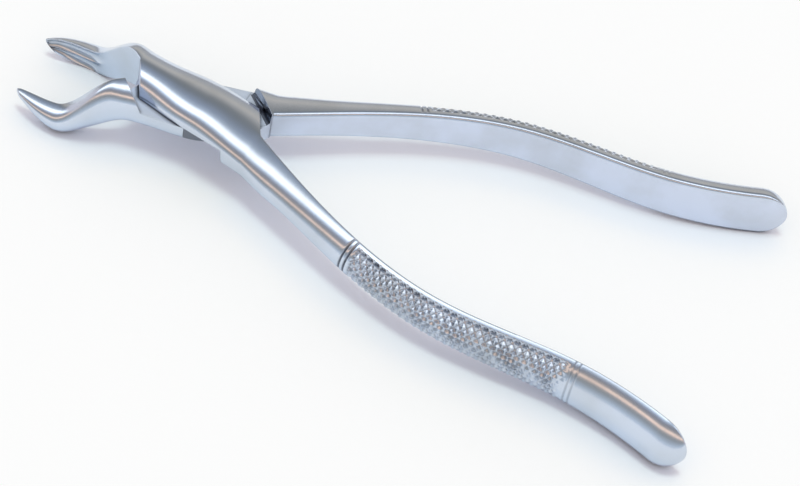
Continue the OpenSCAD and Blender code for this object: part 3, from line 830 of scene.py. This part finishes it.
def ground_and_shade_faces(tree, shader, look, bright, marks, tint, grime_and_shade, gloss):
    """Gives the steel the duller finish of its ground faces and the painted shade of its shaded
    faces, between the nodes that steel() has made."""
    ground = add(tree, "ShaderNodeAttribute", (-900, 420), attribute_name="ground_face")
    face = add(tree, "ShaderNodeMix", (-620, 380), {"A": bright, "B": (*look.ground, 1)},
               data_type="RGBA")
    metal = add(tree, "ShaderNodeMath", (-200, 0), {1: look.ground_metal - 1, 2: 1.0},
                operation="MULTIPLY_ADD")
    satin = add(tree, "ShaderNodeMath", (-200, -100), {1: look.ground_rough},
                operation="MULTIPLY_ADD")
    # Faces marked as painted shade are darkened, at 0.78 of their mark, like the crevices.
    shade_attr = add(tree, "ShaderNodeAttribute", (-900, 640), attribute_name="painted_shade_face")
    shade_strength = add(tree, "ShaderNodeMath", (-400, 640), {1: 0.78}, operation="MULTIPLY")
    dark = add(tree, "ShaderNodeMath", (-200, 500), operation="MAXIMUM")
    wire(tree,
         (ground.outputs["Fac"], face.inputs["Factor"]),
         (face.outputs["Result"], tint.inputs["A"]),
         (ground.outputs["Fac"], metal.inputs[0]),
         (metal.outputs[0], shader.inputs["Metallic"]),
         (ground.outputs["Fac"], satin.inputs[0]),
         (gloss.outputs["Result"], satin.inputs[2]),
         (satin.outputs[0], shader.inputs["Roughness"]),
         (shade_attr.outputs["Fac"], shade_strength.inputs[0]),
         (marks.outputs["Crevices"], dark.inputs[0]),
         (shade_strength.outputs[0], dark.inputs[1]),
         (dark.outputs[0], grime_and_shade.inputs["Factor"]))


def table_paper(studio):
    """White paper of the table, with a painted bluish glow close to the steel that also darkens
    it a little.
    """
    mat, tree, shader = painted("table_paper")
    shader.inputs["Roughness"].default_value = 0.9
    shader.inputs["Specular IOR Level"].default_value = 0.0
    # Occlusion finds the paper close to the steel, where the bluish glow is painted.
    close = add(tree, "ShaderNodeAmbientOcclusion", (-700, 200), {"Distance": 0.012}, samples=8)
    fade = add(tree, "ShaderNodeMapRange", (-500, 200), {"From Min": 0.93, "From Max": 0.70})
    tint = add(tree, "ShaderNodeMix", (-250, 200),
               {"A": (*studio.floor, 1), "B": (*studio.near, 1)}, data_type="RGBA")
    wire(tree,
         (close.outputs["AO"], fade.inputs["Value"]),
         (fade.outputs["Result"], tint.inputs["Factor"]),
         (tint.outputs["Result"], shader.inputs["Base Color"]))
    return mat


# Operators

class FORCEPS_OT_top_half(bpy.types.Operator):
    """Adds the half with the upper cheek, the fluted beak and the near handle"""
    bl_idname = "forceps.top_half"
    bl_label = "Top Half"

    def execute(self, context):
        obj = make_half("top_half_forged", True)
        obj.data.materials.append(steel("steel_top_half", context.scene.forceps_steel.rough))
        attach(obj, "top")
        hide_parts("top_half")
        return {"FINISHED"}


class FORCEPS_OT_under_half(bpy.types.Operator):
    """Adds the half with the lower cheek, the pointed beak and the far handle"""
    bl_idname = "forceps.under_half"
    bl_label = "Under Half"

    def execute(self, context):
        obj = make_half("under_half_forged", False)
        obj.data.materials.append(steel("steel_under_half", context.scene.forceps_steel.rough))
        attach(obj, "under")
        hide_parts("under_half")
        return {"FINISHED"}


class FORCEPS_OT_pivot_screw(bpy.types.Operator):
    """Adds the pivot screw, flush in the underside"""
    bl_idname = "forceps.pivot_screw"
    bl_label = "Pivot Screw"

    def execute(self, context):
        screw = context.scene.forceps_screw
        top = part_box("pivot_screw")[1].z
        head, neck, bevel, rim = screw.head_r, screw.head_h, screw.bevel, 1.5 * screw.bevel
        shank, step, thread = screw.shank_r, screw.shank_end, screw.thread_r
        outline = [(2 * bevel, 0), (head - rim, 0), (head, rim), (head, neck - bevel),
                   (head - bevel, neck), (shank, neck), (shank, step - bevel),
                   (shank - bevel, step), (thread, step + 0.8 * bevel),
                   (thread, top - 2 * bevel), (thread - 2 * bevel, top)]
        obj = lathe("pivot_screw_turned", outline)
        obj.data.materials.append(steel("steel_screw", 0.22, tone=0.92, marked=False))
        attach(obj, "top")
        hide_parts("pivot_screw")
        return {"FINISHED"}


# The photograph's point of view, fitted to the picture: a camera that looks straight down is
# turned about X, Y and Z by these degrees, and stands at its place in metres.
CAMERA_TILT, CAMERA_ROLL, CAMERA_HEADING = 40.9463, -7.8463, 21.2482
CAMERA_PLACE = (0.152284, -0.463580, 0.521311)
CAMERA_LENS, CAMERA_SENSOR = 145.61, 36
TO_LAMP = (-0.02, 0.03, 1.0)


class FORCEPS_OT_stage(bpy.types.Operator):
    """Adds the table, the soft light and the camera"""
    bl_idname = "forceps.stage"
    bl_label = "Studio"

    def execute(self, context):
        scene = context.scene
        studio = scene.forceps_studio
        z, reach = CAD_BOX[0][2], 4.0
        corners = ((-reach, -reach), (reach, -reach), (reach, reach), (-reach, reach))
        mesh = bpy.data.meshes.new("table_top")
        mesh.from_pydata([(x, y, z) for x, y in corners], [], [(0, 1, 2, 3)])
        table = bpy.data.objects.new("table_top", mesh)
        mesh.materials.append(table_paper(studio))
        scene.collection.objects.link(table)

        world = bpy.data.worlds.new("studio_room")
        world.use_nodes = True
        world.node_tree.nodes["Background"].inputs["Color"].default_value = (*studio.ambient, 1)
        scene.world = world

        key = bpy.data.lights.new("key_light", "SUN")
        key.energy, key.angle, key.color = studio.key, studio.key_soft, studio.key_colour
        lamp = bpy.data.objects.new("key_light", key)
        lamp.rotation_mode = "QUATERNION"
        lamp.rotation_quaternion = Vector(TO_LAMP).to_track_quat("Z", "Y")
        lamp.visible_glossy = False
        scene.collection.objects.link(lamp)

        light_tent()

        cam = bpy.data.cameras.new("camera")
        cam.lens, cam.sensor_width, cam.clip_end = CAMERA_LENS, CAMERA_SENSOR, 20
        view = bpy.data.objects.new("camera", cam)
        turn = Euler([math.radians(a) for a in (CAMERA_TILT, CAMERA_ROLL, CAMERA_HEADING)])
        view.matrix_world = Matrix.Translation(CAMERA_PLACE) @ turn.to_matrix().to_4x4()
        scene.collection.objects.link(view)
        scene.camera = view
        scene.view_settings.view_transform = "Standard"
        return {"FINISHED"}


# What the polished steel sees round it, as (degrees from overhead towards +Y, colour)
TENT = (
    (-90, (0.74, 0.80, 0.88)),
    (-78, (0.52, 0.56, 0.60)),
    (-66, (0.36, 0.37, 0.36)),
    (-57, (0.43, 0.41, 0.39)),
    (-51, (1.50, 1.05, 0.80)),
    (-48, (1.60, 1.12, 0.84)),
    (-43, (0.42, 0.39, 0.37)),
    (-33, (0.33, 0.31, 0.32)),
    (-24, (0.42, 0.45, 0.52)),
    (-17, (0.95, 1.05, 1.15)),
    (-12, (1.95, 1.95, 1.95)),
    (0, (1.90, 1.90, 1.90)),
    (7, (0.55, 0.60, 0.66)),
    (18, (0.36, 0.40, 0.47)),
    (34, (0.26, 0.27, 0.28)),
    (44, (0.27, 0.27, 0.26)),
    (54, (0.54, 0.50, 0.45)),
    (60, (0.68, 0.60, 0.51)),
    (67, (0.58, 0.54, 0.48)),
    (90, (0.42, 0.41, 0.43)),
)
TENT_PEAK = 2.0


def tent_cloth():
    """Cloth that glows in the bands of the tent, by the angle round its axis."""
    mat, tree, _ = painted("tent_cloth")
    tree.nodes.clear()
    coords = add(tree, "ShaderNodeTexCoord", (-900, 0))
    split = add(tree, "ShaderNodeSeparateXYZ", (-720, 0))
    turn = add(tree, "ShaderNodeMath", (-540, 0), operation="ARCTAN2")
    place = add(tree, "ShaderNodeMapRange", (-360, 0),
                {"From Min": -math.pi / 2, "From Max": math.pi / 2})
    bands = add(tree, "ShaderNodeValToRGB", (-180, 0))
    glow = add(tree, "ShaderNodeEmission", (100, 0), {"Strength": TENT_PEAK})
    out = add(tree, "ShaderNodeOutputMaterial", (300, 0))
    stops = bands.color_ramp.elements
    while len(stops) < len(TENT):
        stops.new(0.5)
    for stop, (deg, tone) in zip(stops, TENT):
        stop.position = (deg + 90) / 180
        stop.color = (*[c / TENT_PEAK for c in tone], 1)
    wire(tree,
         (coords.outputs["Object"], split.inputs[0]),
         (split.outputs["Y"], turn.inputs[0]),
         (split.outputs["Z"], turn.inputs[1]),
         (turn.outputs[0], place.inputs["Value"]),
         (place.outputs["Result"], bands.inputs["Fac"]),
         (bands.outputs["Color"], glow.inputs["Color"]),
         (glow.outputs[0], out.inputs["Surface"]))
    return mat


def light_tent():
    """Half pipe of glowing cloth along X that only the polished steel sees."""
    r, reach, steps = 3.0, 9.0, 48
    verts, faces = [], []
    for i in range(steps + 1):
        a = math.radians(-90 + 180 * i / steps)
        verts += [(x, r * math.sin(a), r * math.cos(a) + CAD_BOX[0][2]) for x in (-reach, reach)]
        if i:
            faces.append((2 * i - 2, 2 * i - 1, 2 * i + 1, 2 * i))
    mesh = bpy.data.meshes.new("light_tent")
    mesh.from_pydata(verts, [], faces)
    mesh.materials.append(tent_cloth())
    obj = bpy.data.objects.new("light_tent", mesh)
    obj.visible_camera = obj.visible_diffuse = obj.visible_shadow = False
    bpy.context.scene.collection.objects.link(obj)


class FORCEPS_PT_panel(bpy.types.Panel):
    """Lists the pieces of the forceps"""
    bl_label = "Extraction Forceps"
    bl_idname = "FORCEPS_PT_panel"
    bl_space_type = "VIEW_3D"
    bl_region_type = "UI"
    bl_category = "Forceps"

    def draw(self, context):
        for operator in OPERATORS:
            self.layout.operator(operator.bl_idname)
        for name in GROUPS:
            group = getattr(context.scene, name)
            box = self.layout.box()
            for key in group.bl_rna.properties.keys():
                if key not in {"rna_type", "name"}:
                    box.prop(group, key)


OPERATORS = (FORCEPS_OT_stage, FORCEPS_OT_top_half, FORCEPS_OT_under_half,
             FORCEPS_OT_pivot_screw)
GROUPS = {
    "forceps_joint": ForcepsJoint,
    "forceps_beaks": ForcepsBeaks,
    "forceps_handles": ForcepsHandles,
    "forceps_grips": ForcepsGrips,
    "forceps_screw": ForcepsScrew,
    "forceps_steel": ForcepsSteel,
    "forceps_studio": ForcepsStudio,
}


def register():
    """Registers the sizes, the operators and the panel."""
    for cls in (*GROUPS.values(), *OPERATORS, FORCEPS_PT_panel):
        bpy.utils.register_class(cls)
    for name, cls in GROUPS.items():
        setattr(bpy.types.Scene, name, PointerProperty(type=cls))


def unregister():
    """Takes them out again."""
    for name in GROUPS:
        delattr(bpy.types.Scene, name)
    for cls in reversed((*GROUPS.values(), *OPERATORS, FORCEPS_PT_panel)):
        bpy.utils.unregister_class(cls)


def main():
    register()
    bpy.ops.forceps.stage()
    bpy.ops.forceps.top_half()
    bpy.ops.forceps.under_half()
    bpy.ops.forceps.pivot_screw()


if __name__ == "__main__":
    main()
